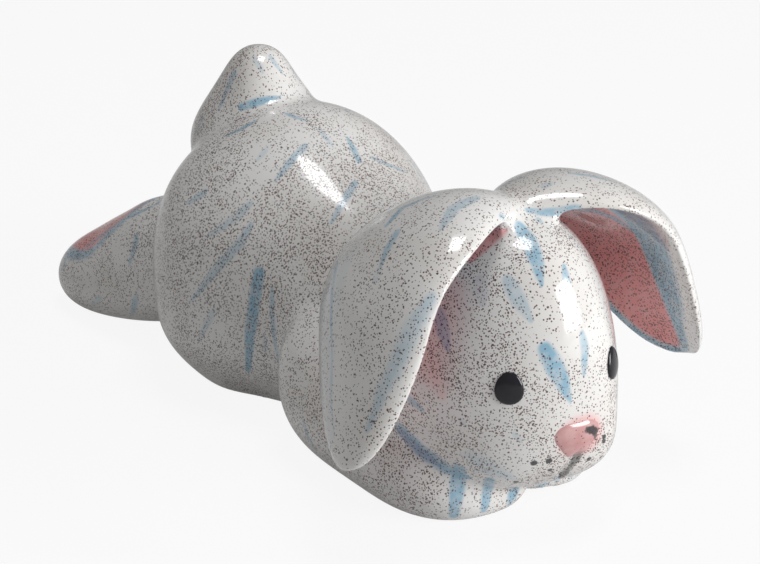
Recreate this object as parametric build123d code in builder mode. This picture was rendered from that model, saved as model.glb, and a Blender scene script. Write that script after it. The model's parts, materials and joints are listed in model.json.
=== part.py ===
from build123d import *
import math
import os

# Ceramic rabbit figurine lying on its belly, in millimetres, +Z up, the face towards -Y.
# The origin is in the middle of the base, on the surface that the rabbit lies on.
# Body and head are hollow slip castings. Ears, legs, feet and tail are solid clay, cut to
# the form that they are stuck on, so that neighbours meet face to face.

# Casting
wall = 4.5  # wall of the body and the head
floor_wall = 5.0  # thicker floor under the body
vent_diameter = 10.0  # vent hole in the floor of the body
vent_inset = 46.0  # vent hole ahead of the end of the rump
neck_vent_diameter = 8.0  # air hole from the body into the head
overrun = 5.0  # how far a cut runs past what it cuts
section_count = 8  # steps from pole to pole of a rounded form

# Body: a round rump that tapers to the chest
body_rear = 65.0  # rear end of the rump, behind the origin
body_length = 137.0  # from the end of the rump to the chest, under the head
rump_half_width = 46.5
rump_half_height = 49.0
rump_axis_height = 36.0
chest_axis_height = 33.0
# share of the length, of the half width and height, and of the way down to the chest's axis
body_shares = (
    (0.022, 0.38, 0),
    (0.08, 0.69, 0),
    (0.17, 0.91, 0),
    (0.27, 1, 0),
    (0.385, 0.96, 0.05),
    (0.5, 0.825, 0.25),
    (0.635, 0.67, 0.6),
    (0.77, 0.57, 0.9),
    (0.88, 0.43, 1),
    (0.965, 0.23, 1),
)
chest_y = body_rear - body_length

# Head: an egg with an upright face, widest low at the cheeks
face_reach = 38.0  # the face in front of the chest
head_length = 84.0
nose_axis_height = 30.0  # height of the front pole
cheek_height = 38.0  # height of the widest line in the middle of the head
rear_half_width = 37.0
face_half_width = 30.0
rear_drop = 24.0  # from the widest line down to the throat
face_drop = 36.0  # from the widest line down to the chin
rear_rise = 33.0  # from the widest line up to the nape
face_rise = 57.0  # from the widest line up to the brow
brow_share = 0.75  # the lower, the more upright the face
jaw_share = 1.08  # fullness of the jaw
cheek_share = 1.2  # fullness of the cheeks
flank_share = 0.4  # how far the cheeks stay full, down and up
crown_share = 0.75  # fullness of the crown
face_y = chest_y - face_reach

# Tail: a bell with a round tip
tail_inset = 20.0  # tail axis ahead of the end of the rump
tail_rise = 14.5  # tip above the top of the rump
tail_flare = 31.0  # from the tip down to the widest ring
tail_root = 19.0  # from the widest ring down into the rump
tail_radius = 22.0
# share of the radius and of the flare, for the curve's control points
tail_shares = ((0, 0), (0.55, 0), (0.45, 0.45), (1, 0.62), (1, 1))
tail_top = rump_axis_height + rump_half_height + tail_rise

# Hind feet, stretched out behind
hip_inset = 30.0
hip_spread = 12.5
hip_height = 37.5
toe_reach = 45.0  # toes behind the end of the rump
toe_spread = 38.0
toe_height = 7.0
foot_half_width = 17.0
foot_half_height = 21.5
toe_share = 0.8  # the lower, the blunter the toes

# Forelegs, folded under the chin
shoulder_inset = 50.0  # rear of the shoulder behind the chest
shoulder_spread = 28.0
shoulder_height = 24.0
paw_reach = 15.5  # paws in front of the chest
paw_spread = 12.5
paw_height = 8.0
shoulder_half_width = 16.5
shoulder_half_height = 27.0
paw_half_width = 20.5
paw_half_height = 14.0
paw_share = 0.3  # the lower, the blunter the ends of the leg

# Ears: dished leaves that meet on the crown, arch over it and hang beside the cheeks
ear_setback = 25.0  # centre of the arch behind the face
ear_height = 55.0  # centre of the arch above the base
ear_lean = 20.0  # degrees that the arch leans back
ear_cock = 1.7  # degrees that the pair is cocked to the left
cock_height = 44.0  # the pair is cocked about a line at this height
ear_spread = 17.5  # centre of the arch beside the middle
ear_bend_radius = 35.4
ear_root_angle = 115.0
ear_hang_angle = 18.0
ear_hang = 36.0  # from the end of the arch to the tip
ear_width = 57.0
ear_shift = 5.0  # middle of the leaf behind the arch
ear_thickness = 7.0
ear_dish = 9.0  # hollow of the leaf
ear_section_count = 10
rim_share = 1.2  # the higher, the fuller the rim
leaf_share = 0.5  # the higher, the flatter the middle of the leaf
ear_root_share = 0.2  # width of the root
ear_full_share = 0.46  # how far along the ear is as wide as it gets

# Eyes and nose
face_turn = 3.8  # degrees that the face is turned to the right
eye_spacing = 32.2
eye_height = 46.4
eye_diameter = 8.6
eye_rise = 1.8
nose_height = 29.0
nose_width = 15.0
nose_length = 12.0
nose_rise = 1.4
nose_corner_radius = 2.6
nose_edge_radius = 0.9


def between(first, second, share):
    """The value or point at a share of the way from the first to the second."""
    return tuple(a + (b - a) * share for a, b in zip(first, second))


def facing(x, y, z):
    """A section plane across the rabbit, its X to the rabbit's left and its Y up."""
    return Plane((x, y, z), x_dir=(1, 0, 0), z_dir=(0, -1, 0))


def oval(plane, half_width, half_height):
    """A section of two half ellipses."""
    with BuildSketch(plane) as section:
        with BuildLine():
            EllipticalCenterArc((0, 0), half_width, half_height, start_angle=-90, arc_size=180)
            EllipticalCenterArc((0, 0), half_width, half_height, start_angle=90, arc_size=180)
        make_face()
    return section.sketch


def face_oval(plane, half_width, drop, rise):
    """A section of two side curves with a full jaw, widest near the plane's X axis."""
    with BuildSketch(plane) as section:
        with BuildLine():
            for side in (half_width, -half_width):
                Bezier((0, -drop), (side * jaw_share, -drop), (side * cheek_share, -drop * flank_share),
                       (side * cheek_share, rise * flank_share), (side * crown_share, rise), (0, rise))
        make_face()
    return section.sketch


def body_sections(inset):
    """Poles and sections of the body, drawn in by the inset."""
    sections = []
    for along, swell, fall in body_shares:
        y = body_rear - inset - (body_length - 2 * inset) * along
        z = rump_axis_height + (chest_axis_height - rump_axis_height) * fall
        sections.append(oval(facing(0, y, z), (rump_half_width - inset) * swell, (rump_half_height - inset) * swell))
    rear = Vertex(0, body_rear - inset, rump_axis_height)
    front = Vertex(0, chest_y + inset, chest_axis_height)
    return [rear, *sections, front]


def head_sections(inset):
    """Poles and sections of the head, drawn in by the inset."""
    sections = []
    for step in range(1, section_count):
        turn = math.pi * step / section_count
        along = (1 - math.cos(turn)) / 2
        swell = math.sin(turn)
        upright = swell**brow_share
        y = face_y + inset + (head_length - 2 * inset) * along
        z = nose_axis_height + (cheek_height - nose_axis_height) * upright
        half_width, drop, rise = between(
            (face_half_width - inset, face_drop - inset, face_rise - inset),
            (rear_half_width - inset, rear_drop - inset, rear_rise - inset), along)
        sections.append(face_oval(facing(0, y, z), half_width * swell, drop * upright, rise * upright))
    front = Vertex(0, face_y + inset, nose_axis_height)
    rear = Vertex(0, face_y + head_length - inset, nose_axis_height)
    return [front, *sections, rear]


os.makedirs("parts", exist_ok=True)

# Filled forms of body and head, which the other pieces are cut by
with BuildPart() as body_form:
    loft(body_sections(0))
    split(bisect_by=Plane.XY, keep=Keep.TOP)

with BuildPart() as head_form:
    loft(head_sections(0))

# Torso: a closed shell with a flat base, a vent hole and an air hole into the head
with BuildPart() as body_cavity:
    loft(body_sections(wall))
    split(bisect_by=Plane.XY.offset(floor_wall), keep=Keep.TOP)

with BuildPart() as torso:
    add(body_form.part)
    add(body_cavity.part, mode=Mode.SUBTRACT)
    with Locations((0, body_rear - vent_inset, floor_wall / 2)):
        Cylinder(vent_diameter / 2, floor_wall + overrun, mode=Mode.SUBTRACT)
    with Locations(facing(0, chest_y + wall / 2, chest_axis_height)):
        Cylinder(neck_vent_diameter / 2, 2 * (wall + overrun), mode=Mode.SUBTRACT)
torso.part.label = "torso"
export_step(torso.part, "parts/torso.step")

# Head: a shell that is open where it sits on the chest
with BuildPart() as head:
    add(head_form.part)
    loft(head_sections(wall), mode=Mode.SUBTRACT)
    add(body_form.part, mode=Mode.SUBTRACT)
head.part.label = "head"
export_step(head.part, "parts/head.step")

# Tail
tail_y = body_rear - tail_inset
with BuildPart() as tail:
    with BuildSketch(facing(0, tail_y, tail_top)):
        with BuildLine():
            Bezier(*[(tail_radius * out, -tail_flare * down) for out, down in tail_shares])
            EllipticalCenterArc((0, -tail_flare), tail_radius, tail_root, start_angle=-90, arc_size=90)
            Line((0, -tail_flare - tail_root), (0, 0))
        make_face()
    revolve(axis=Axis((0, tail_y, 0), (0, 0, 1)))
    add(body_form.part, mode=Mode.SUBTRACT)
tail.part.label = "tail"
export_step(tail.part, "parts/tail.step")

# Hind feet
hip = Vector(-hip_spread, body_rear - hip_inset, hip_height)
toes = Vector(-toe_spread, body_rear + toe_reach, toe_height)
foot_sections = []
for step in range(section_count):
    turn = math.pi / 2 * step / section_count
    plane = Plane(hip + (toes - hip) * math.sin(turn), x_dir=(1, 0, 0), z_dir=toes - hip)
    swell = math.cos(turn) ** toe_share
    foot_sections.append(oval(plane, foot_half_width * swell, foot_half_height * swell))

with BuildPart() as right_hind_foot:
    loft([*foot_sections, Vertex(*toes)])
    split(bisect_by=Plane.XY, keep=Keep.TOP)
    add(body_form.part, mode=Mode.SUBTRACT)
right_hind_foot.part.label = "right_hind_foot"
export_step(right_hind_foot.part, "parts/right_hind_foot.step")

with BuildPart() as left_hind_foot:
    mirror(right_hind_foot.part, about=Plane.YZ)
left_hind_foot.part.label = "left_hind_foot"
export_step(left_hind_foot.part, "parts/left_hind_foot.step")

# Forelegs, whose paws meet in the middle
shoulder = (-shoulder_spread, chest_y + shoulder_inset, shoulder_height)
paw = (-paw_spread, chest_y - paw_reach, paw_height)
leg_sections = []
for step in range(1, section_count):
    turn = math.pi * step / section_count
    along = (1 - math.cos(turn)) / 2
    swell = math.sin(turn) ** paw_share
    half_width, half_height = between(
        (shoulder_half_width, shoulder_half_height), (paw_half_width, paw_half_height), along)
    leg_sections.append(oval(facing(*between(shoulder, paw, along)), half_width * swell, half_height * swell))

with BuildPart() as right_foreleg:
    loft([Vertex(*shoulder), *leg_sections, Vertex(*paw)])
    split(bisect_by=Plane.XY, keep=Keep.TOP)
    split(bisect_by=Plane.YZ, keep=Keep.BOTTOM)
    add(body_form.part, mode=Mode.SUBTRACT)
    add(head_form.part, mode=Mode.SUBTRACT)
right_foreleg.part.label = "right_foreleg"
export_step(right_foreleg.part, "parts/right_foreleg.step")

with BuildPart() as left_foreleg:
    mirror(right_foreleg.part, about=Plane.YZ)
left_foreleg.part.label = "left_foreleg"
export_step(left_foreleg.part, "parts/left_foreleg.step")

# Ears: sections across a spine of a root run, an arch and a hang
lean = math.radians(ear_lean)
root_turn = math.radians(ear_root_angle)
root_run = (ear_spread + ear_bend_radius * math.cos(root_turn)) / math.sin(root_turn)
across_ear = Vector(0, math.cos(lean), -math.sin(lean))
ear_plane = Plane((0, face_y + ear_setback, ear_height), x_dir=(1, 0, 0), z_dir=-across_ear)
with BuildLine(ear_plane) as ear_spine:
    arch = CenterArc((ear_spread, 0), ear_bend_radius, ear_root_angle, ear_hang_angle - ear_root_angle)
    Line(arch @ 0 - (arch % 0) * (root_run + overrun), arch @ 0)
    Line(arch @ 1, arch @ 1 + (arch % 1) * ear_hang)
spine = ear_spine.wire()
ear_sections = []
for step in range(ear_section_count):
    along = math.sin(math.pi / 2 * step / ear_section_count)
    taper = math.sqrt(1 - along**3)
    spread = ear_root_share + (1 - ear_root_share) * math.sin(math.pi / 2 * min(1, along / ear_full_share))
    half = ear_width / 2 * spread * taper
    dish = ear_dish * spread * taper
    thick = ear_thickness / 2 * math.sqrt(1 - along**6)
    middle = spine @ along + across_ear * ear_shift * spread
    with BuildSketch(Plane(middle, x_dir=across_ear, z_dir=spine % along)) as section:
        with BuildLine():
            for side in (1, -1):
                lip = -dish + side * thick * rim_share
                ridge = (16 * side * thick + dish - 5 * lip) / 10  # puts the curve's middle at the half thickness
                Bezier((-half, -dish), (-half, lip), (-half * leaf_share, ridge), (half * leaf_share, ridge),
                       (half, lip), (half, -dish))
        make_face()
    ear_sections.append(section.sketch)

with BuildPart() as ear_form:
    loft([*ear_sections, Vertex(*(spine @ 1 + across_ear * ear_shift))])
    split(bisect_by=Plane.YZ, keep=Keep.TOP)
cock_axis = Axis((0, face_y, cock_height), (0, 1, 0))

with BuildPart() as left_ear:
    add(ear_form.part.rotate(cock_axis, ear_cock))
    add(head_form.part, mode=Mode.SUBTRACT)
left_ear.part.label = "left_ear"
export_step(left_ear.part, "parts/left_ear.step")

with BuildPart() as right_ear:
    add(ear_form.part.mirror(Plane.YZ).rotate(cock_axis, ear_cock))
    add(head_form.part, mode=Mode.SUBTRACT)
right_ear.part.label = "right_ear"
export_step(right_ear.part, "parts/right_ear.step")

# Eyes: drops that stand on the face
face_frame = Plane((0, face_y + head_length / 2, 0)).rotated((0, 0, -face_turn))
eye_radius = (eye_diameter**2 / 4 + eye_rise**2) / (2 * eye_rise)


def face_point(x, z):
    """The point of the face and its normal, from a place beside the middle of the face and above the base."""
    sight = Axis(face_frame.from_local_coords((x, -head_length, z)), face_frame.y_dir)
    return head_form.part.find_intersection_points(sight)[0]


def eye_centre(x):
    """The centre of an eye's ball, from its place beside the middle of the face."""
    point, normal = face_point(x, eye_height)
    return point - normal * (eye_radius - eye_rise)


with BuildPart() as left_eye:
    with Locations(eye_centre(eye_spacing / 2)):
        Sphere(eye_radius)
    add(head_form.part, mode=Mode.SUBTRACT)
left_eye.part.label = "left_eye"
export_step(left_eye.part, "parts/left_eye.step")

with BuildPart() as right_eye:
    with Locations(eye_centre(-eye_spacing / 2)):
        Sphere(eye_radius)
    add(head_form.part, mode=Mode.SUBTRACT)
right_eye.part.label = "right_eye"
export_step(right_eye.part, "parts/right_eye.step")

# Nose: a rounded triangular pad, pressed on the tip of the face
nose_tip = face_point(0, nose_height)[0]
nose_plane = Plane(nose_tip, x_dir=face_frame.x_dir, z_dir=-face_frame.y_dir)
with BuildPart() as nose:
    with BuildSketch(nose_plane.offset(-overrun)) as pad:
        with BuildLine():
            Polyline((-nose_width / 2, nose_length / 2), (nose_width / 2, nose_length / 2), (0, -nose_length / 2),
                     close=True)
        make_face()
        fillet(pad.vertices(), nose_corner_radius)
    extrude(amount=overrun + nose_rise)
    fillet(nose.faces().sort_by(Axis.Y)[0].edges(), nose_edge_radius)
    add(head_form.part, mode=Mode.SUBTRACT)
nose.part.label = "nose"
export_step(nose.part, "parts/nose.step")
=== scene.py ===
"""Looks of a ceramic rabbit figurine: a speckled glaze with brushed blue strokes and pink ears."""

from __future__ import annotations

import json
import logging
import math
from dataclasses import dataclass, field
from enum import Enum
from functools import reduce
from typing import Any, Iterable, Sequence

import bmesh
import bpy
import numpy as np
from mathutils import Matrix, Vector
from mathutils.bvhtree import BVHTree
from mathutils.kdtree import KDTree

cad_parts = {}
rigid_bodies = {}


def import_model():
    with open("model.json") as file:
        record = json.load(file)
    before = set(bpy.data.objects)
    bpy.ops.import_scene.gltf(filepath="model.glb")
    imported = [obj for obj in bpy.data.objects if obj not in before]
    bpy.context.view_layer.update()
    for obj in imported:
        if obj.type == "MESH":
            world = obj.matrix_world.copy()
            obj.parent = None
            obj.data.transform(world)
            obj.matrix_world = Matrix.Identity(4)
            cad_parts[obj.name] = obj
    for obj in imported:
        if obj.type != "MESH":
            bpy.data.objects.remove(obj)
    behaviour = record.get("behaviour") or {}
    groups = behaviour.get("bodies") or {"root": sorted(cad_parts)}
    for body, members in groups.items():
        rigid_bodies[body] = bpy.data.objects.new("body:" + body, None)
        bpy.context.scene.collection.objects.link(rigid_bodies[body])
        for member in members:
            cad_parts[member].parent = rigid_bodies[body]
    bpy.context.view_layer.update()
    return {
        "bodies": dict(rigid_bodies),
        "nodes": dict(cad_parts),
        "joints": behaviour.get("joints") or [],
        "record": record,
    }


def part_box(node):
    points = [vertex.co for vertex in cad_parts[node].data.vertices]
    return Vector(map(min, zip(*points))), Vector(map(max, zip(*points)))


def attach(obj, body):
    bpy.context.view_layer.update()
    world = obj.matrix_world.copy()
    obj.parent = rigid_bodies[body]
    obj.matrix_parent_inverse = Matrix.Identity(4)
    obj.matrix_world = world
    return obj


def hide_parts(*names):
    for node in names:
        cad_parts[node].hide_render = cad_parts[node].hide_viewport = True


LOG = logging.getLogger("rabbit")
MM = 0.001
BODY = "root"
Pixel = tuple[float, float]
Place = tuple[float, float, float]
Colour = tuple[float, float, float, float]


class Slot(Enum):
    """Material slots of the record."""

    GLAZE = "glaze"
    EYE = "eye_enamel"
    NOSE = "nose_glaze"


class Wash(Enum):
    """Painted washes, painted shade in the jaw's crease and fewer specks as painted light where light
    falls, kept as one number per vertex.
    """

    BLUE = "blue_wash"
    # violet paint on the face, and painted shade darkening the jaw's crease
    VIOLET_AND_SHADE = "violet_and_shade_wash"
    PINK = "pink_wash"
    # fewer specks: plain glaze on the ear rims, and painted light where light falls
    CALM_AND_LIT = "calm_and_lit_glaze"


def linked(name: str, data: Any) -> bpy.types.Object:
    """A new object in the scene."""
    made = bpy.data.objects.new(name, data)
    bpy.context.scene.collection.objects.link(made)
    return made


def as_mesh(shape: bmesh.types.BMesh, name: str) -> bpy.types.Mesh:
    """A mesh of a shape, which is freed."""
    mesh = bpy.data.meshes.new(name)
    shape.to_mesh(mesh)
    shape.free()
    return mesh


def point_at(thing: bpy.types.Object, place: Vector, target: Vector) -> None:
    """Puts a camera or a lamp at a place and turns it to a target."""
    thing.location = place
    thing.rotation_mode = "QUATERNION"
    thing.rotation_quaternion = (target - place).to_track_quat("-Z", "Y")


@dataclass(frozen=True)
class PhotoCamera:
    """The photograph's camera, round the middle of the rabbit."""

    azimuth: float = -35.2
    elevation: float = 23.0
    distance: float = 620 * MM
    aim: Place = (0.0, 0.0, 45 * MM)
    focal_pixels: float = 2043.0
    centre: Pixel = (342.3, 253.4)
    width: float = 760.0
    height: float = 564.0
    sensor: float = 36.0

    def axes(self) -> tuple[Vector, Vector, Vector]:
        """The camera's own directions.

        Returns:
            Right, up and back.
        """
        a, e = math.radians(self.azimuth), math.radians(self.elevation)
        back = Vector((math.sin(a) * math.cos(e), -math.cos(a) * math.cos(e), math.sin(e)))
        right = Vector((math.cos(a), math.sin(a), 0))
        return right, back.cross(right), back

    def place(self) -> Vector:
        """Where the camera stands."""
        return Vector(self.aim) + self.axes()[2] * self.distance

    def ray(self, pixel: Pixel) -> Vector:
        """The direction of the view through a pixel.

        Args:
            pixel: the pixel.

        Returns:
            A unit vector away from the camera.
        """
        right, up, back = self.axes()
        across = (pixel[0] - self.centre[0]) / self.focal_pixels
        down = (pixel[1] - self.centre[1]) / self.focal_pixels
        return (right * across - up * down - back).normalized()

    def build(self) -> bpy.types.Object:
        """Makes the scene's camera.

        Returns:
            The camera object.
        """
        lens = bpy.data.cameras.new("photo_camera")
        lens.sensor_width = self.sensor
        lens.lens = self.focal_pixels / self.width * self.sensor
        lens.shift_x = (self.width / 2 - self.centre[0]) / self.width
        lens.shift_y = (self.centre[1] - self.height / 2) / self.width
        camera = linked("photo_camera", lens)
        point_at(camera, self.place(), Vector(self.aim))
        bpy.context.scene.camera = camera
        return camera


class Socket:
    """A node's output, with operators that add Math nodes."""

    def __init__(self, shade: "NodeTree", link: Any) -> None:
        """Keeps the node tree's builder and the socket."""
        self.shade = shade
        self.link = link

    def _math(self, operation: str, *values: Any) -> "Socket":
        """A Math node on this socket and others."""
        inputs = {i: v for i, v in enumerate(values)}
        return self.shade.node("ShaderNodeMath", {"operation": operation}, inputs)

    def __add__(self, other: Any) -> "Socket":
        """self + other"""
        return self._math("ADD", self, other)

    __radd__ = __add__

    def __sub__(self, other: Any) -> "Socket":
        """self - other"""
        return self._math("SUBTRACT", self, other)

    def __rsub__(self, other: Any) -> "Socket":
        """other - self"""
        return self._math("SUBTRACT", other, self)

    def __mul__(self, other: Any) -> "Socket":
        """self * other"""
        return self._math("MULTIPLY", self, other)

    __rmul__ = __mul__

    def __truediv__(self, other: Any) -> "Socket":
        """self / other"""
        return self._math("DIVIDE", self, other)

    def over(self, other: Any) -> "Socket":
        """The larger of two values."""
        return self._math("MAXIMUM", self, other)

    def ramp(self, low: Any, high: Any, start: float = 0.0, end: float = 1.0) -> "Socket":
        """A smooth step from start at low to end at high."""
        inputs = {0: self, 1: low, 2: high, 3: start, 4: end}
        return self.shade.node("ShaderNodeMapRange", {"interpolation_type": "SMOOTHSTEP"}, inputs)


class NodeTree:
    """Adds nodes to a material or a world."""

    def __init__(self, tree: bpy.types.NodeTree) -> None:
        """Starts from an empty tree."""
        self.tree = tree
        tree.nodes.clear()

    def feed(self, target: Any, value: Any) -> None:
        """Links a socket to an input, or sets the input's value."""
        if isinstance(value, Socket):
            self.tree.links.new(value.link, target)
        else:
            target.default_value = value

    def node(self, kind: str, settings: dict[str, Any], inputs: dict[Any, Any], out: Any = 0) -> Socket:
        """Adds one node.

        Args:
            kind: the node's type.
            settings: its own settings, set first.
            inputs: values or links, by the sockets' names or numbers.
            out: the output that is wanted.

        Returns:
            The wanted output.
        """
        made = self.tree.nodes.new(kind)
        for name, value in settings.items():
            setattr(made, name, value)
        for name, value in inputs.items():
            self.feed(made.inputs[name], value)
        return Socket(self, made.outputs[out])

    def onlooker(self, mirrored: float) -> Socket:
        """How white a ray finds the surroundings.

        Args:
            mirrored: how white a reflection finds them.

        Returns:
            1 for a ray from the camera or through glass, and less for others.
        """
        camera = self.node("ShaderNodeLightPath", {}, {}, "Is Camera Ray")
        outputs = camera.link.node.outputs
        clear = camera.over(Socket(self, outputs["Is Transmission Ray"]))
        return clear.over(Socket(self, outputs["Is Glossy Ray"]) * mirrored)


class Shade(NodeTree):
    """Builds one material."""

    def __init__(self, name: str) -> None:
        """Makes an empty material with a Principled shader."""
        self.material = bpy.data.materials.new(name)
        self.material.use_nodes = True
        super().__init__(self.material.node_tree)
        self.output = self.tree.nodes.new("ShaderNodeOutputMaterial")
        self.surface = self.tree.nodes.new("ShaderNodeBsdfPrincipled")
        self.tree.links.new(self.surface.outputs[0], self.output.inputs["Surface"])

    def place(self) -> Socket:
        """Object coordinates."""
        return self.node("ShaderNodeTexCoord", {}, {}, "Object")

    def wash(self, wash: Wash) -> Socket:
        """A painted wash."""
        return self.node("ShaderNodeAttribute", {"attribute_name": wash.value}, {}, "Fac")

    def noise(self, size: float, detail: float = 2.0, rough: float = 0.5) -> Socket:
        """Noise with blotches of about the given size."""
        inputs = {"Vector": self.place(), "Scale": 1 / size, "Detail": detail, "Roughness": rough}
        return self.node("ShaderNodeTexNoise", {}, inputs, "Fac")

    def cells(self, size: float) -> Socket:
        """The distance to the nearest of scattered points, in shares of the given size."""
        inputs = {"Vector": self.place(), "Scale": 1 / size, "Randomness": 1.0}
        return self.node("ShaderNodeTexVoronoi", {"feature": "F1"}, inputs, "Distance")

    def vector(self, operation: str, first: Any, second: Any, out: str = "Vector") -> Socket:
        """A Vector Math node on two vectors."""
        return self.node("ShaderNodeVectorMath", {"operation": operation}, {0: first, 1: second}, out)

    def bump(self, strength: float, height: Any, distance: float) -> Socket:
        """A normal that is bumped by a height."""
        inputs = {"Strength": strength, "Distance": distance, "Height": height}
        return self.node("ShaderNodeBump", {}, inputs)

    def mix(self, factor: Any, first: Any, second: Any) -> Socket:
        """A blend of two colours."""
        settings = {"data_type": "RGBA"}
        return self.node("ShaderNodeMix", settings, {0: factor, 6: first, 7: second}, 2)

    def set(self, **values: Any) -> None:
        """Sets or links the shader's sockets, named with _ for a space."""
        for name, value in values.items():
            self.feed(self.surface.inputs[name.replace("_", " ")], value)


@dataclass(frozen=True)
class SpeckLayer:
    """One spatter of iron specks in the glaze."""

    cell: float
    radius: float
    share: float


@dataclass(frozen=True)
class InkDot:
    """A painted dot on the face."""

    centre: Vector
    radius: float
    strength: float

    def mark(self, shade: Shade, wobble: Socket) -> Socket:
        """The dot's mask, with a soft uneven edge."""
        away = shade.vector("DISTANCE", shade.place(), self.centre, "Value") + wobble
        return away.ramp(self.radius * 1.15, self.radius * 0.7) * self.strength


@dataclass(frozen=True)
class InkLine:
    """A painted line on the face, thinner at its end."""

    start: Vector
    end: Vector
    half_width: float
    strength: float
    taper: float = 0.3

    def mark(self, shade: Shade, wobble: Socket) -> Socket:
        """The line's mask, with a soft uneven edge."""
        run = self.end - self.start
        reach = shade.vector("SUBTRACT", shade.place(), self.start)
        along = shade.vector("DOT_PRODUCT", reach, run, "Value")
        share = shade.node("ShaderNodeClamp", {}, {0: along / run.length_squared})
        near = shade.node("ShaderNodeVectorMath", {"operation": "SCALE"}, {0: run, "Scale": share})
        away = shade.vector("DISTANCE", reach, near, "Value") + wobble
        return (away / (self.half_width * (1 - self.taper * share))).ramp(1.1, 0.75) * self.strength


@dataclass(frozen=True)
class SpeckledGlaze:
    """Glossy off-white glaze with iron specks, painted washes, painted shade, painted light where the
    specks thin out, and an unglazed foot.
    """

    name: str
    white: Colour = (0.8, 0.79, 0.775, 1.0)
    cream: Colour = (0.7, 0.66, 0.62, 1.0)
    blue: Colour = (0.2, 0.42, 0.57, 1.0)
    # violet paint, also laid as painted shade in the jaw's crease
    violet_and_shade: Colour = (0.2, 0.26, 0.44, 1.0)
    pink: Colour = (0.82, 0.29, 0.29, 1.0)
    rust: Colour = (0.14, 0.046, 0.042, 1.0)
    iron: Colour = (0.026, 0.015, 0.015, 1.0)
    ink: Colour = (0.024, 0.025, 0.03, 1.0)
    clay: Colour = (0.7, 0.64, 0.56, 1.0)
    dark_clay: Colour = (0.58, 0.51, 0.43, 1.0)
    layers: tuple[SpeckLayer, ...] = (
        SpeckLayer(0.6 * MM, 0.19 * MM, 1.0),
        SpeckLayer(0.82 * MM, 0.245 * MM, 1.0),
        SpeckLayer(1.5 * MM, 0.31 * MM, 0.6),
    )
    patch_size: float = 15 * MM
    cloud_size: float = 30 * MM
    streak_size: float = 2.6 * MM
    ripple_size: float = 11 * MM
    grain_size: float = 0.6 * MM
    sparse: float = 0.2
    # how much the wash of sparse specks, partly painted light, thins them
    calm_and_lit_thinning: float = 0.88
    gloss: float = 0.16
    foot_height: float = 0.7 * MM

    def specks(self, shade: Shade) -> tuple[Socket, Socket]:
        """The specks' mask, thinner under the wash of sparse specks (plain glaze and painted light), and
        their tint.

        Args:
            shade: the material's builder.

        Returns:
            A mask, 1 on a speck and 0 off it, and a number from rust to iron.
        """
        patch = shade.noise(self.patch_size, 4, 0.62).ramp(0.3, 0.6)
        # sparser specks where light falls: painted light
        density = (self.sparse + (1 - self.sparse) * patch) * (1 - self.calm_and_lit_thinning * shade.wash(Wash.CALM_AND_LIT))
        wobble = (shade.noise(0.45 * MM, 1) - 0.5) * 0.22
        marks = []
        tints = []
        for layer in self.layers:
            distance, chance, hue = self._cells(shade, layer)
            present = (density * layer.share - chance).ramp(-0.03, 0.03)
            reach = layer.radius / layer.cell
            marks.append(present * (distance + wobble).ramp(reach * 1.12, reach * 0.85))
            tints.append(hue * marks[-1])
        return reduce(Socket.over, marks), reduce(Socket.over, tints)

    def _cells(self, shade: Shade, layer: SpeckLayer) -> tuple[Socket, Socket, Socket]:
        """The scattered places of a layer's specks.

        Args:
            shade: the material's builder.
            layer: the layer.

        Returns:
            The distance to the nearest speck, and that speck's two random numbers.
        """
        distance = shade.cells(layer.cell)
        random = Socket(shade, distance.link.node.outputs["Color"])
        chance = shade.node("ShaderNodeSeparateColor", {}, {0: random}, 0)
        hue = Socket(shade, chance.link.node.outputs[1])
        return distance, chance, hue

    def build(self, marks: Sequence[InkDot | InkLine] = ()) -> bpy.types.Material:
        """Makes the material.

        Args:
            marks: inked dots and lines.

        Returns:
            The material.
        """
        shade = Shade(self.name)
        tone = shade.noise(self.cloud_size, 4).ramp(0.38, 0.68)
        base = shade.mix(tone * 0.55, self.white, self.cream)
        streak = shade.noise(self.streak_size, 4)
        brushed = streak.ramp(0.28, 0.62, 0.6, 1.0)
        base = shade.mix(shade.wash(Wash.PINK) * streak.ramp(0.25, 0.6, 0.84, 1.0), base, self.pink)
        base = shade.mix(shade.wash(Wash.BLUE) * brushed, base, self.blue)
        # violet paint, and painted shade in the jaw's crease
        base = shade.mix(shade.wash(Wash.VIOLET_AND_SHADE) * brushed, base, self.violet_and_shade)
        specks, tint = self.specks(shade)
        base = shade.mix(specks * 0.95, base, shade.mix(tint, self.rust, self.iron))
        if marks:
            wobble = (shade.noise(0.9 * MM, 2) - 0.5) * (0.5 * MM)
            masks = [item.mark(shade, wobble) for item in marks]
            base = shade.mix(reduce(Socket.over, masks), base, self.ink)
        height = shade.node("ShaderNodeSeparateXYZ", {}, {0: shade.place()}, "Z")
        foot = height.ramp(self.foot_height, self.foot_height * 0.5)
        grain = shade.noise(self.grain_size, 3)
        base = shade.mix(foot, base, shade.mix(grain, self.clay, self.dark_clay))
        ripple = shade.noise(self.ripple_size, 2) * 0.7 + specks * 0.06 + grain * foot * 0.4
        rough = self.gloss + specks * 0.1 + foot * 0.6
        shade.set(Base_Color=base, Roughness=rough, Normal=shade.bump(0.14, ripple, 1 * MM),
                  Coat_Weight=0.5 - foot * 0.5, Coat_Roughness=0.04)
        return shade.material


@dataclass(frozen=True)
class BlackEnamel:
    """Deep black glass enamel of the eyes."""

    name: str = "black_enamel"
    body: Colour = (0.008, 0.008, 0.011, 1.0)
    haze: Colour = (0.018, 0.018, 0.024, 1.0)

    def build(self) -> bpy.types.Material:
        """Makes the material."""
        shade = Shade(self.name)
        cloud = shade.noise(1.6 * MM, 2)
        shade.set(Base_Color=shade.mix(cloud, self.body, self.haze), Roughness=0.08 + cloud * 0.08,
                  Normal=shade.bump(0.05, cloud, 0.4 * MM), Specular_IOR_Level=0.22, Coat_Weight=0.35,
                  Coat_Roughness=0.03)
        return shade.material


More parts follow.
